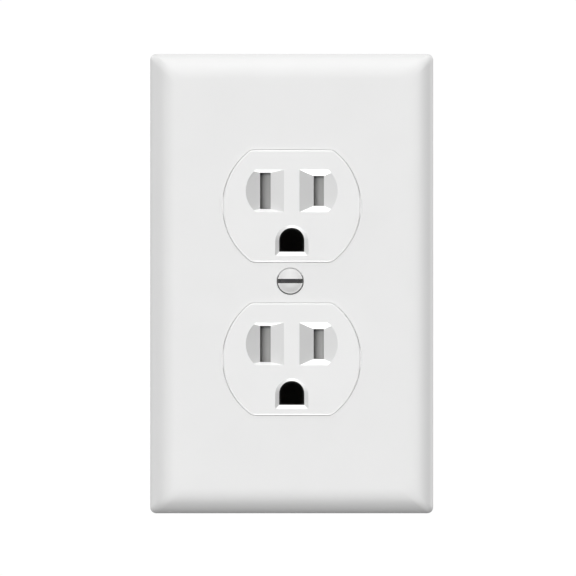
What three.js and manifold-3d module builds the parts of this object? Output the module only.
// Duplex wall outlet with cover plate, drawn in millimetres.
// Everything below is drawn with the wall surface at y = 0, the room towards -Y, +X right
// and +Z up for someone facing the outlet, and z = 0 midway between the two plug faces.
// The whole is then shifted by CENTRE, so that the origin is the middle of its bounding box.
import * as THREE from 'three';
import * as BufferGeometryUtils from 'three/addons/utils/BufferGeometryUtils.js';
import Module from 'manifold-3d';

const wasm = await Module();
wasm.setup();

// ---------------------------------------------------------------- driving dimensions
const CENTRE = { x: 0, y: -9.325, z: 0.28 };
const PLATE = { w: 70.4, h: 114.3, z: -0.28, corner: 1.5, front: -5.6, rim: 1.4, bevelW: 7.0, bevelH: 4.2, wall: 2.0, inner: -3.5, innerBevelW: 6.2, innerBevelH: 3.0 };
const OUTLET_Z = 19.05;              // each face centre above or below the plate screw
const OPENING = { r: 17.3, flat: 14.2 };
const TOWER = { r: 17.05, flat: 13.93, front: -6.1, edge: 0.5 };
const COVER = { w: 34.1, h: 67.6, corner: 3.0, front: -2.9, back: 2.2 };
const CAVITY = { r: 15.3, flat: 12.3, front: -3.7 };
const SLOT_UP = 3.75;                // blade slots' centre above the face centre
const NEUTRAL = { x: -6.56, w: 2.62, h: 9.02, blade: -6.56 };
const HOT = { x: 6.73, w: 2.54, h: 7.49, blade: 6.73 };
const FUNNEL = { inner: 1.92, arcX: 4.58, arcR: 6.85, flat: 5.28, depth: 1.5 };
const GROUND = { down: 8.69, r: 3.07, flat: 2.59, chamfer: 1.0, guideR: 2.8, guideFlat: 2.5, leaf: 2.84 };
const SHUTTER = { x0: -11.6, x1: 9.3, half: 5.3, front: -3.4, back: -0.9, travel: 2.6 };
const FRAME = { r: 15.0, flat: 12.0, front: -0.7, back: 0.4, railFront: -3.3 };
const PLATE_SCREW = { x: -0.37, z: 0.36, mouth: 3.38 };   // the plate screw sits a little off the middle
const STRAP = { t: 1.2, spine: 0.8, halfNarrow: 3.6, halfWide: 6.0, halfBase: 4.6, wallIn: 34.3, wallOut: 35.5, earEnd: 52.6, earW: 33.0, fix: 41.65 };
const HOUSING = { front: 2.3, flange: 4.8, back: 25.0, z: 33.8 };
const SCREW = { plateR: 1.7, plateHead: 3.12, termShank: 2.0, termHead: 4.0, asmShank: 1.1, asmHead: 2.4 };
const TERMINAL_Z = 9.0, TERMINAL_Y = 13.0;

// ---------------------------------------------------------------- solid helpers
function toSolid(geometry) {
  const g = geometry.clone();
  for (const a of ['normal', 'uv']) if (g.attributes[a]) g.deleteAttribute(a);
  const m = BufferGeometryUtils.mergeVertices(g, 1e-4);
  const index = m.index.array;
  const p = m.attributes.position.array;
  const tri = [];
  for (let i = 0; i < index.length; i += 3) {
    const [a, b, c] = [index[i], index[i + 1], index[i + 2]];
    if (a !== b && b !== c && c !== a) tri.push(a, b, c);
  }
  return new wasm.Manifold(new wasm.Mesh({ numProp: 3, vertProperties: new Float32Array(p), triVerts: new Uint32Array(tri) }));
}
function toGeometry(solid) {
  const m = solid.getMesh();
  const g = new THREE.BufferGeometry();
  g.setAttribute('position', new THREE.BufferAttribute(new Float32Array(m.vertProperties), 3));
  g.setIndex(new THREE.BufferAttribute(new Uint32Array(m.triVerts), 1));
  g.computeVertexNormals();
  return g;
}
const join = (...s) => s.reduce((a, b) => a.add(b));
const cut = (a, ...s) => s.reduce((x, b) => x.subtract(b), a);

// box between two corners
function box(x0, x1, y0, y1, z0, z1) {
  const g = new THREE.BoxGeometry(x1 - x0, y1 - y0, z1 - z0);
  g.translate((x0 + x1) / 2, (y0 + y1) / 2, (z0 + z1) / 2);
  return toSolid(g);
}
// outline drawn in (x, z), extruded from y0 to y1
function slabY(shape, y0, y1, curveSegments = 16) {
  const g = new THREE.ExtrudeGeometry(shape, { depth: y1 - y0, bevelEnabled: false, curveSegments });
  g.rotateX(Math.PI / 2);
  g.translate(0, y1, 0);
  return toSolid(g);
}
// outline drawn in (x, y), extruded from z0 to z1
function slabZ(shape, z0, z1, curveSegments = 16) {
  const g = new THREE.ExtrudeGeometry(shape, { depth: z1 - z0, bevelEnabled: false, curveSegments });
  g.translate(0, 0, z0);
  return toSolid(g);
}
function polygon(points) {
  return new THREE.Shape(points.map(([a, b]) => new THREE.Vector2(a, b)));
}
function roundedRect(x0, x1, z0, z1, r) {
  const s = new THREE.Shape();
  s.moveTo(x0 + r, z0);
  s.lineTo(x1 - r, z0);
  s.absarc(x1 - r, z0 + r, r, -Math.PI / 2, 0, false);
  s.lineTo(x1, z1 - r);
  s.absarc(x1 - r, z1 - r, r, 0, Math.PI / 2, false);
  s.lineTo(x0 + r, z1);
  s.absarc(x0 + r, z1 - r, r, Math.PI / 2, Math.PI, false);
  s.lineTo(x0, z0 + r);
  s.absarc(x0 + r, z0 + r, r, Math.PI, 1.5 * Math.PI, false);
  return s;
}
// circle of radius r cut by two level chords at +-flat, centred on (0, zc)
function truncatedCircle(r, flat, zc, n = 20) {
  const a = Math.asin(flat / r);
  const pts = [];
  for (let i = 0; i <= n; i++) { const t = -a + (2 * a * i) / n; pts.push([r * Math.cos(t), zc + r * Math.sin(t)]); }
  for (let i = 0; i <= n; i++) { const t = Math.PI - a + (2 * a * i) / n; pts.push([r * Math.cos(t), zc + r * Math.sin(t)]); }
  return polygon(pts);
}
// D outline, round at the top and flat below, grown by d
function dOutline(zc, d, n = 12) {
  return dShape(zc, GROUND.r + d, GROUND.flat + d, n);
}
function dShape(zc, r, f, n = 12) {
  const pts = [[-r, zc - f], [r, zc - f]];
  for (let i = 0; i <= n; i++) { const t = (Math.PI * i) / n; pts.push([r * Math.cos(t), zc + r * Math.sin(t)]); }
  return polygon(pts);
}
// upright cylinder along Y, from y0 to y1
function rodY(x, z, r, y0, y1, n = 16, r2 = r) {
  const g = new THREE.CylinderGeometry(r2, r, y1 - y0, n);   // top radius is at y1
  g.translate(x, (y0 + y1) / 2, z);
  return toSolid(g);
}
function rodX(y, z, r, x0, x1, n = 16) {
  const g = new THREE.CylinderGeometry(r, r, x1 - x0, n);
  g.rotateZ(-Math.PI / 2);
  g.translate((x0 + x1) / 2, y, z);
  return toSolid(g);
}
function rodZ(x, y, r, z0, z1, n = 16) {
  const g = new THREE.CylinderGeometry(r, r, z1 - z0, n);
  g.rotateX(Math.PI / 2);
  g.translate(x, y, (z0 + z1) / 2);
  return toSolid(g);
}
// round piece turned about +Y from [radius, height] pairs, both ends on the axis
function turned(profile, n = 20) {
  return toSolid(new THREE.LatheGeometry(profile.map(([r, y]) => new THREE.Vector2(r, y)), n));
}
// frustum through two outlines with the same number of corners, at y0 and y1
function loft(ring0, y0, ring1, y1) {
  const n = ring0.length, pos = [], idx = [];
  for (const [x, z] of ring0) pos.push(x, y0, z);
  for (const [x, z] of ring1) pos.push(x, y1, z);
  const c0 = THREE.ShapeUtils.triangulateShape(ring0.map(([a, b]) => new THREE.Vector2(a, b)), []);
  for (const [a, b, c] of c0) { idx.push(a, b, c); idx.push(n + a, n + c, n + b); }
  for (let i = 0; i < n; i++) { const j = (i + 1) % n; idx.push(i, n + i, j, j, n + i, n + j); }
  const g = new THREE.BufferGeometry();
  g.setAttribute('position', new THREE.BufferAttribute(new Float32Array(pos), 3));
  g.setIndex(idx);
  let s = toSolid(g);
  if (s.volume() < 0) { for (let i = 0; i < idx.length; i += 3) [idx[i], idx[i + 1]] = [idx[i + 1], idx[i]]; g.setIndex(idx); s = toSolid(g); }
  return s;
}

// ---------------------------------------------------------------- materials
const mat = (color, roughness, metalness = 0) => new THREE.MeshStandardMaterial({ color, roughness, metalness });
const whitePlastic = () => mat(0xf0f0ee, 0.32);
const shutterPlastic = () => mat(0xd6d6d2, 0.5);
const darkPlastic = () => mat(0x17181a, 0.5);
const zincSteel = () => mat(0xb9bcbc, 0.38, 1);
const springSteel = () => mat(0xa9abad, 0.3, 1);
const nickel = () => mat(0xc8c6c0, 0.28, 1);
const brass = () => mat(0xb98f4a, 0.32, 1);
const brassScrew = () => mat(0xc29a50, 0.28, 1);
const greenSteel = () => mat(0x2f7a43, 0.35, 0.6);
const paintedScrew = () => mat(0xe9e9e6, 0.4);
const fibre = () => mat(0xd9d2c0, 0.85);

const outlet = new THREE.Group();
outlet.name = 'duplex_wall_outlet';
const centred = new THREE.Group();
centred.position.set(CENTRE.x, CENTRE.y, CENTRE.z);
outlet.add(centred);
function add(name, solid, material, parent = centred) {
  const m = new THREE.Mesh(toGeometry(solid), material);
  m.name = name;
  parent.add(m);
  return m;
}
const group = (parent = centred) => { const g = new THREE.Group(); parent.add(g); return g; };

// ---------------------------------------------------------------- cover plate
function bevelledBlock(w, h, bw, bh, top, bottom, segments) {
  // block whose front (towards -Y) is at y = top, with a quarter-ellipse border
  const s = new THREE.Shape();
  const x = w / 2 - bw, z = h / 2 - bw;
  s.moveTo(-x, -z); s.lineTo(x, -z); s.lineTo(x, z); s.lineTo(-x, z); s.closePath();
  const depth = 12;
  const g = new THREE.ExtrudeGeometry(s, { depth, bevelEnabled: true, bevelThickness: bh, bevelSize: bw, bevelSegments: segments, curveSegments: 1 });
  g.rotateX(Math.PI / 2);             // extrusion now runs from y = +bh down to y = -(depth + bh)
  g.translate(0, top + depth + bh, 0);
  return toSolid(g).intersect(box(-w, w, top - 1, bottom, -h, h));
}
{
  let p = bevelledBlock(PLATE.w, PLATE.h, PLATE.bevelW, PLATE.bevelH, PLATE.front, 0, 8);
  p = p.intersect(slabY(roundedRect(-PLATE.w / 2, PLATE.w / 2, -PLATE.h / 2, PLATE.h / 2, PLATE.corner), -8, 1, 5));
  const wi = PLATE.w - 2 * PLATE.wall, hi = PLATE.h - 2 * PLATE.wall;
  p = p.subtract(bevelledBlock(wi, hi, PLATE.innerBevelW, PLATE.innerBevelH, PLATE.inner, 0.5, 4));
  p = p.translate([0, 0, PLATE.z]);
  for (const s of [1, -1]) {
    p = p.subtract(slabY(truncatedCircle(OPENING.r, OPENING.flat, s * OUTLET_Z), -9, 2));
    // stiffening ribs behind the front wall
    p = p.add(box(s > 0 ? 22 : -23, s > 0 ? 23 : -22, -3.6, -1.4, -44, 44));
    p = p.add(box(-23, 23, -3.6, -1.8, s > 0 ? 47.5 : -48.5, s > 0 ? 48.5 : -47.5));
  }
  // countersunk hole for the plate screw
  const ps = PLATE_SCREW;
  p = p.subtract(rodY(ps.x, ps.z, 2.05, -9, 2, 24));
  p = p.subtract(rodY(ps.x, ps.z, ps.mouth, PLATE.front - 0.02, -4.1, 24, 2.05));
  p = p.subtract(rodY(ps.x, ps.z, ps.mouth, -7.0, PLATE.front, 24));
  add('wall_plate', p, whitePlastic());
}
// oval-head plate screw: local axis +Y points into the wall
{
  const g = group();
  g.position.set(PLATE_SCREW.x, 0, PLATE_SCREW.z);
  const profile = [[0, -6.35], [0.9, -6.3], [1.8, -6.13], [2.5, -5.87], [SCREW.plateHead, -5.5], [SCREW.plateR, -3.8], [SCREW.plateR, 6.6], [1.2, 7.0], [0, 7.0]];
  let s = turned(profile, 24);
  s = s.subtract(box(-4, 4, -7, -5.0, -0.525, 0.525));
  add('plate_screw', s, paintedScrew(), g);
}

// ---------------------------------------------------------------- face cover with both plug faces
function towerSolid(zc) {
  const e = TOWER.edge, n = 26;
  const ring = (r, f) => {
    const a = Math.asin(f / r), pts = [];
    for (let i = 0; i <= n; i++) { const t = -a + (2 * a * i) / n; pts.push([r * Math.cos(t), zc + r * Math.sin(t)]); }
    for (let i = 0; i <= n; i++) { const t = Math.PI - a + (2 * a * i) / n; pts.push([r * Math.cos(t), zc + r * Math.sin(t)]); }
    return pts;
  };
  return join(
    slabY(polygon(ring(TOWER.r, TOWER.flat)), TOWER.front + e, COVER.front + 0.5),
    loft(ring(TOWER.r - e, TOWER.flat - e), TOWER.front, ring(TOWER.r, TOWER.flat), TOWER.front + e));
}
// funnel round a blade slot: four sloping facets inside a D-like outline
function funnel(slot, side, zs) {
  const { inner, arcX, arcR, flat, depth } = FUNNEL;
  const outer = arcX + arcR;
  const pts = [[side * inner, zs - flat], [side * inner, zs + flat]];
  const a = Math.asin(flat / arcR), n = 12;
  for (let i = 0; i <= n; i++) { const t = a - (2 * a * i) / n; pts.push([side * (arcX + arcR * Math.cos(t)), zs + arcR * Math.sin(t)]); }
  const prism = slabY(polygon(side > 0 ? pts : pts.slice().reverse()), TOWER.front - 1, TOWER.front + depth + 0.5);
  const hw = slot.w / 2, hh = slot.h / 2, x0 = side > 0 ? inner : -outer, x1 = side > 0 ? outer : -inner;
  // pyramid from the outline's box at the surface to the slot's rectangle at full depth
  const top = [[x0, zs - flat], [x1, zs - flat], [x1, zs + flat], [x0, zs + flat]];
  const bot = [[slot.x - hw, zs - hh], [slot.x + hw, zs - hh], [slot.x + hw, zs + hh], [slot.x - hw, zs + hh]];
  const out = top.map(([x, z], i) => [x + (x - bot[i][0]) * 0.2, z + (z - bot[i][1]) * 0.2]);
  const pyramid = loft(out, TOWER.front - 0.2 * depth, bot, TOWER.front + depth);
  return pyramid.intersect(prism);
}
{
  let f = slabY(roundedRect(-COVER.w / 2, COVER.w / 2, -COVER.h / 2, COVER.h / 2, COVER.corner), COVER.front, COVER.back, 4);
  for (const s of [1, -1]) f = f.add(towerSolid(s * OUTLET_Z));
  for (const s of [1, -1]) {
    const zc = s * OUTLET_Z, zs = zc + SLOT_UP, zg = zc - GROUND.down;
    f = f.subtract(slabY(truncatedCircle(CAVITY.r, CAVITY.flat, zc, 12), CAVITY.front, COVER.back + 1));
    f = f.subtract(box(NEUTRAL.x - NEUTRAL.w / 2, NEUTRAL.x + NEUTRAL.w / 2, -8, -3, zs - NEUTRAL.h / 2, zs + NEUTRAL.h / 2));
    f = f.subtract(box(HOT.x - HOT.w / 2, HOT.x + HOT.w / 2, -8, -3, zs - HOT.h / 2, zs + HOT.h / 2));
    f = f.subtract(funnel(NEUTRAL, -1, zs));
    f = f.subtract(funnel(HOT, 1, zs));
    f = f.subtract(slabY(dOutline(zg, 0), -8, -3));
    const ringOf = (d) => dOutline(zg, d).getPoints().map((v) => [v.x, v.y]);
    f = f.subtract(loft(ringOf(GROUND.chamfer * 1.2), TOWER.front - 0.2, ringOf(0), TOWER.front + 1.0));
    // blind holes for the assembly screws
    for (const x of [-13.6, 13.6]) f = f.subtract(rodY(x, s * 31.2, 1.35, -1.6, COVER.back + 1, 12));
    // lightening pockets beside the plate screw's post
    f = f.subtract(box(s > 0 ? 4.8 : -14.5, s > 0 ? 14.5 : -4.8, -1.3, COVER.back + 1, -5.2, 5.2));
  }
  f = f.subtract(rodY(PLATE_SCREW.x, PLATE_SCREW.z, 2.1, -8, 4, 20));
  // channel the strap lies in
  f = f.subtract(box(-STRAP.halfWide - 0.4, STRAP.halfWide + 0.4, 0.5, COVER.back + 1, -40, 40));
  add('receptacle_face', f, whitePlastic());
}

// ---------------------------------------------------------------- shutters, their frames and springs
for (const [name, s] of [['upper', 1], ['lower', -1]]) {
  const g = group();
  g.position.set(0, 0, s * OUTLET_Z);            // local z = 0 is the face centre
  const zs = SLOT_UP, zg = -GROUND.down;
  // platform with guide rails, blade openings, spring post and ground sleeve
  let fr = slabY(truncatedCircle(FRAME.r, FRAME.flat, 0, 14), FRAME.front, FRAME.back);
  const railBounds = slabY(truncatedCircle(FRAME.r, FRAME.flat, 0, 14), FRAME.railFront, FRAME.front + 0.2);
  fr = fr.add(railBounds.intersect(join(box(-16, 16, -4, 0, zs + 5.5, zs + 6.6), box(-16, 16, -4, 0, zs - 6.6, zs - 5.5))));
  fr = fr.add(railBounds.intersect(slabY(dOutline(zg, 1.15), FRAME.railFront - 1, FRAME.front + 1)));
  fr = fr.add(box(0.9, 1.7, -3.1, FRAME.front + 0.2, zs - 1.0, zs + 1.0));
  fr = fr.subtract(slabY(dOutline(zg, 0.12), -5, FRAME.front));
  fr = fr.subtract(slabY(dShape(zg, GROUND.guideR, GROUND.guideFlat), -5, 2));
  fr = fr.subtract(box(-8.3, -4.8, -2, 2, zs - 5.0, zs + 5.0));
  fr = fr.subtract(box(5.0, 8.4, -2, 2, zs - 4.2, zs + 4.2));
  add(name + '_shutter_frame', fr, darkPlastic(), g);

  // slider: two ramps under the slots, two windows that line up with them after 2.6 mm
  const h = SHUTTER.half;
  let sl = box(SHUTTER.x0, SHUTTER.x1, SHUTTER.front, SHUTTER.back, zs - h, zs + h);
  const ramp = (x0, x1, half) => {               // wedge removed above a ramp rising from x0 to x1
    const cam = [[x0, -1.2], [x0 + 0.6, -2.3], [x0 + 1.2, -2.9], [x0 + 2.0, -3.25], [x1, -3.4], [x1, -5], [x0, -5]];
    return slabZ(polygon(cam), zs - half, zs + half);
  };
  sl = sl.subtract(ramp(-8.0, -4.9, 4.9));
  sl = sl.subtract(box(-10.4, -8.0, -5, 0, zs - 4.9, zs + 4.9));
  sl = sl.subtract(ramp(5.1, 8.2, 4.2));
  sl = sl.subtract(box(2.7, 5.1, -5, 0, zs - 4.2, zs + 4.2));
  sl = sl.subtract(box(-4.4, 1.9, -5, 0, zs - 1.3, zs + 1.3));
  add(name + '_shutter', sl, shutterPlastic(), g);

  // coil spring between the slider's pocket and the frame's post
  class Helix extends THREE.Curve {
    getPoint(t, target = new THREE.Vector3()) {
      const a = 2 * Math.PI * 4.5 * t;
      return target.set(-4.05 + 4.6 * t, -2.1 + 0.82 * Math.cos(a), zs + 0.82 * Math.sin(a));
    }
  }
  const wire = new THREE.Shape();
  wire.absarc(0, 0, 0.16, 0, 2 * Math.PI, false);
  const spring = new THREE.ExtrudeGeometry(wire, { steps: 41, extrudePath: new Helix(), bevelEnabled: false, curveSegments: 3 });
  add(name + '_shutter_spring', toSolid(spring), springSteel(), g);
}

// ---------------------------------------------------------------- steel strap
function ear(s) {
  // plaster ear with two break-off lobes and a level obround fixing hole
  const sh = new THREE.Shape();
  const W = STRAP.earW / 2, z0 = STRAP.wallIn, z1 = STRAP.earEnd;
  sh.moveTo(-8, z0); sh.lineTo(8, z0); sh.lineTo(8, 37.2); sh.lineTo(W - 1.5, 37.2);
  sh.absarc(W - 1.5, 38.7, 1.5, -Math.PI / 2, 0, false);
  sh.lineTo(W, z1 - 2.5);
  sh.absarc(W - 2.5, z1 - 2.5, 2.5, 0, Math.PI / 2, false);
  sh.lineTo(-W + 2.5, z1);
  sh.absarc(-W + 2.5, z1 - 2.5, 2.5, Math.PI / 2, Math.PI, false);
  sh.lineTo(-W, 38.7);
  sh.absarc(-W + 1.5, 38.7, 1.5, Math.PI, 1.5 * Math.PI, false);
  sh.lineTo(-8, 37.2);
  let e = slabY(sh, -STRAP.t, 0, 4);
  const slot = new THREE.Shape();
  const r = 1.95, L = 0.8;
  slot.absarc(L, STRAP.fix, r, -Math.PI / 2, Math.PI / 2, false);
  slot.absarc(-L, STRAP.fix, r, Math.PI / 2, 1.5 * Math.PI, false);
  e = e.subtract(slabY(slot, -3, 2, 8));
  for (const x of [-11.5, 11.5]) {
    e = e.subtract(rodY(x, 45.4, 1.5, -3, 2, 12));
    e = e.subtract(box(x - 0.35, x + 0.35, -0.6, 1, 38.2, 44.5));   // snap-off scoring in the back
  }
  // notches where the ears snap off
  for (const x of [-6.6, 6.6]) e = e.subtract(rodY(x, z1, 1.0, -3, 2, 12));
  return s > 0 ? e : e.mirror([0, 0, 1]);
}
{
  const y0 = STRAP.spine, y1 = STRAP.spine + STRAP.t;
  const spine = polygon([
    [-STRAP.halfWide, -STRAP.wallOut], [STRAP.halfWide, -STRAP.wallOut], [STRAP.halfWide, -21.8], [STRAP.halfNarrow, -20.4], [STRAP.halfNarrow, -9.6],
    [STRAP.halfBase, -8.2], [STRAP.halfWide, 5.2], [STRAP.halfWide, 15.6], [STRAP.halfNarrow, 17.2], [STRAP.halfNarrow, 28.4], [STRAP.halfWide, 30],
    [STRAP.halfWide, STRAP.wallOut], [-STRAP.halfWide, STRAP.wallOut], [-STRAP.halfWide, 30], [-STRAP.halfNarrow, 28.4], [-STRAP.halfNarrow, 17.2],
    [-STRAP.halfWide, 15.6], [-STRAP.halfWide, 5.2], [-STRAP.halfBase, -8.2], [-STRAP.halfNarrow, -9.6], [-STRAP.halfNarrow, -20.4], [-STRAP.halfWide, -21.8]]);
  let st = slabY(spine, y0, y1);
  for (const s of [1, -1]) {
    st = st.add(ear(s));
    const z = [s * STRAP.wallIn, s * STRAP.wallOut].sort((a, b) => a - b);
    st = st.add(box(-8, 8, -STRAP.t, y1, z[0], z[1]));
    const zg = s * OUTLET_Z - GROUND.down;
    st = st.subtract(rodY(0, zg, 3.5, -1, 4, 20));
    st = st.subtract(rodY(0, zg + 5.3, 1.25, -1, 4, 12));
  }
  st = st.subtract(rodY(PLATE_SCREW.x, PLATE_SCREW.z, 1.95, -1, 4, 16));
  // ground tab: carries on behind the lower joggle
  const tab = polygon([[-12.5, -1.2], [-4.6, -1.2], [-4.6, 16.2], [-5.6, 17.2], [-11.5, 17.2], [-12.5, 16.2]]);
  st = st.add(slabZ(tab, -STRAP.wallOut, -STRAP.wallIn));
  st = st.subtract(rodZ(-8.5, 12, 2.25, -38, -32, 16));
  add('mounting_strap', st, zincSteel());
}

// ---------------------------------------------------------------- ground contacts and rivets
for (const [name, s] of [['upper', 1], ['lower', -1]]) {
  const g = group();
  g.position.set(0, 0, s * OUTLET_Z - GROUND.down);   // local z = 0 is the ground pin's axis
  let c = box(-3.9, 3.9, 2.15, 2.8, -3.4, 7.6).subtract(box(-GROUND.leaf, GROUND.leaf, 1, 4, -3.0, 3.0));
  for (const x of [1, -1]) {
    const a = x * GROUND.leaf, b = x * (GROUND.leaf + 0.6), [x0, x1] = a < b ? [a, b] : [b, a];
    c = c.add(box(x0, x1, 2.4, 13.0, -2.5, 2.5));
  }
  c = c.subtract(rodY(0, 5.3, 1.25, 0, 4, 12));
  add(name + '_ground_contact', c, brass(), g);
  const rivet = turned([[0, 0.55], [1.9, 0.55], [1.9, 0.75], [1.1, 0.75], [1.1, 2.85], [1.9, 2.85], [1.6, 3.3], [0, 3.4]], 14);
  const r = add(name + '_ground_rivet', rivet, brass(), g);
  r.position.set(0, 0, 5.3);
}

// ---------------------------------------------------------------- rear housing
{
  const H = HOUSING;
  let h = slabY(roundedRect(-COVER.w / 2, COVER.w / 2, -COVER.h / 2, COVER.h / 2, COVER.corner), H.front, H.flange, 4);
  const half = [[10.6, -H.z], [10.6, -28.3], [13, -26.2], [13, -16.5], [12.4, -16.5], [12.4, 16.5], [13, 16.5], [13, 26.2], [10.6, 28.3], [10.6, H.z]];
  const body = polygon([...half, ...half.map(([x, z]) => [-x, z]).reverse()]);
  h = h.add(slabY(body, H.flange - 0.2, H.back));
  // shelf over the terminals with the wire entry holes
  h = h.add(slabY(roundedRect(-16.6, 16.6, -15.5, 15.5, 1.2), 21.5, H.back, 3));
  for (const x of [-13.3, 13.3]) for (const z of [-12.4, -5.6, 5.6, 12.4]) h = h.subtract(rodY(x, z, 1.5, 20, 27, 12));
  // side channels for the contact strips
  for (const s of [1, -1]) {
    const bx = (a, b, y0, y1, z0, z1) => (s > 0 ? box(a, b, y0, y1, z0, z1) : box(-b, -a, y0, y1, z0, z1));
    h = h.subtract(bx(4.75, 11.1, 1, 14.4, -19.6, 27.1));
    for (const k of [1, -1]) {
      const z0 = k > 0 ? 4.2 : -14.6, z1 = k > 0 ? 14.6 : -4.2;
      h = h.subtract(bx(11.0, 18, 5.6, 21.5, z0, z1));                 // terminal bays
      h = h.subtract(bx(8.4, 11.5, 10.6, 15.5, k * TERMINAL_Z - 2.5, k * TERMINAL_Z + 2.5));
    }
    h = h.subtract(bx(10.5, 18, 9.9, 11.3, -1.9, 1.9));                // break-off fin passes the centre wall
    // ground pockets
    const zg = s * OUTLET_Z - GROUND.down;
    h = h.subtract(box(-4.05, 4.05, 1, 3.1, zg - 3.7, zg + 7.9));
    h = h.subtract(box(-3.75, 3.75, 1, 19, zg - 3.4, zg + 3.4));
    h = h.subtract(rodY(0, zg + 5.3, 2.2, 1, 3.8, 12));
    // assembly screw holes
    for (const x of [-13.6, 13.6]) h = h.subtract(rodY(x, s * 31.2, 1.35, 1, 6, 12));
  }
  // relief for the tip of the plate screw, and pocket for the ground screw's end
  h = h.subtract(rodY(PLATE_SCREW.x, PLATE_SCREW.z, 2.4, 1, 9, 16));
  h = h.subtract(box(-10.9, -6.1, 9.6, 14.4, -35, -30.3));
  add('rear_housing', h, darkPlastic());
}

// ---------------------------------------------------------------- contact strips
for (const [name, s, blade] of [['neutral', -1, NEUTRAL.blade], ['hot', 1, HOT.blade]]) {
  const bx = (a, b, y0, y1, z0, z1) => (s > 0 ? box(a, b, y0, y1, z0, z1) : box(-b, -a, y0, y1, z0, z1));
  const xb = Math.abs(blade);
  const parts = [];
  for (const k of [1, -1]) {
    const zc = k * OUTLET_Z + SLOT_UP;
    parts.push(bx(xb - 1.65, xb - 0.95, 5.2, 14.0, zc - 3.6, zc + 3.6));
    parts.push(bx(xb + 0.95, xb + 1.65, 5.2, 14.0, zc - 3.6, zc + 3.6));
    parts.push(bx(xb - 1.65, 10.8, 13.3, 14.0, zc - 3.6, zc + 3.6));
    parts.push(bx(10.0, 10.8, 7.6, 14.0, zc - 3.6, zc + 3.6));
    // strip half and terminal flange
    const z0 = k > 0 ? 1.6 : -12.0, z1 = k > 0 ? 22.0 : -1.6;
    parts.push(bx(10.0, 10.8, 7.6, 10.2, z0, z1));
    const t0 = k > 0 ? 4.6 : -14.2, t1 = k > 0 ? 14.2 : -4.6;
    parts.push(bx(10.0, 12.1, 7.6, 8.4, t0, t1));
    parts.push(bx(11.3, 12.1, 7.6, 17.4, t0, t1));
  }
  parts.push(bx(10.0, 10.8, 8.8, 10.2, -2, 2));           // break-off link
  parts.push(bx(10.4, 12.3, 10.0, 10.9, -1.5, 1.5));      // and its finger tab
  parts.push(bx(10.0, 10.8, 9.8, 10.9, -1.5, 1.5));
  let b = join(...parts);
  for (const k of [1, -1]) {
    const hole = s > 0 ? rodX(TERMINAL_Y, k * TERMINAL_Z, 2.3, 11, 12.5) : rodX(TERMINAL_Y, k * TERMINAL_Z, 2.3, -12.5, -11);
    b = b.subtract(hole);
  }
  add(name + '_bus', b, brass());
}

// ---------------------------------------------------------------- terminals
// drawn once with the screw's axis along local +Y pointing inwards, then turned and placed
function clampPlate() {
  const sh = roundedRect(-4.2, 4.2, -4.2, 4.2, 0.8);
  const hole = new THREE.Path();
  hole.absarc(0, 0, 2.35, 0, 2 * Math.PI, true);
  sh.holes.push(hole);
  return slabY(sh, -1.2, 0, 4);
}
function bindingScrew(shank) {
  let s = turned([[0, -3.6], [2.6, -3.6], [3.6, -3.25], [SCREW.termHead, -2.7], [SCREW.termHead, -1.5], [SCREW.termShank, -1.5],
    [SCREW.termShank, shank - 0.6], [1.4, shank], [0, shank]], 18);
  s = s.subtract(box(-5, 5, -5, -2.55, -0.6, 0.6));
  return s;
}
for (const [side, s] of [['neutral', -1], ['hot', 1]]) {
  for (const [row, k] of [['upper', 1], ['lower', -1]]) {
    const g = group();
    g.position.set(s * 12.45, TERMINAL_Y, k * TERMINAL_Z);
    g.rotation.z = s * Math.PI / 2;                  // local +Y now points at the housing
    add(`${side}_${row}_clamp`, clampPlate(), side === 'hot' ? brassScrew() : nickel(), g);
    add(`${side}_${row}_terminal_screw`, bindingScrew(3.4), side === 'hot' ? brassScrew() : nickel(), g);
  }
}
{
  const g = group();
  g.position.set(-8.5, 12, -35.85);
  g.rotation.x = Math.PI / 2;                        // local +Y points up, into the tab
  add('ground_clamp', clampPlate(), greenSteel(), g);
  add('ground_screw', bindingScrew(4.2), greenSteel(), g);
}

// ---------------------------------------------------------------- mounting screws and retainers
for (const [row, k] of [['upper', 1], ['lower', -1]]) {
  const g = group();
  g.position.set(0, 0, k * STRAP.fix);
  let s = turned([[0, -3.2], [2.2, -3.15], [3.1, -2.75], [3.4, -2.1], [3.4, -1.5], [1.7, -1.5], [1.7, 19.4], [1.1, 20.2], [0, 20.2]], 18);
  s = s.subtract(box(-5, 5, -5, -2.3, -0.5, 0.5));
  add(row + '_mounting_screw', s, zincSteel(), g);
  const sh = roundedRect(-4.75, 4.75, -4.75, 4.75, 0.8);
  const hole = new THREE.Path();
  hole.absarc(0, 0, 2.0, 0, 2 * Math.PI, true);
  sh.holes.push(hole);
  add(row + '_screw_retainer', slabY(sh, 0.15, 0.95, 5), fibre(), g);
}

// ---------------------------------------------------------------- assembly screws, driven from behind
for (const [row, k] of [['upper', 1], ['lower', -1]]) {
  for (const [side, x] of [['left', -13.6], ['right', 13.6]]) {
    const g = group();
    g.position.set(x, 0, k * 31.2);
    let s = turned([[0, -1.1], [SCREW.asmShank, -0.6], [SCREW.asmShank, 5.0], [SCREW.asmHead, 5.0], [SCREW.asmHead, 5.9], [1.7, 6.5], [0, 6.6]], 14);
    s = s.subtract(box(-3, 3, 5.9, 7, -0.4, 0.4));
    add(`${row}_${side}_assembly_screw`, s, zincSteel(), g);
  }
}

export default outlet;
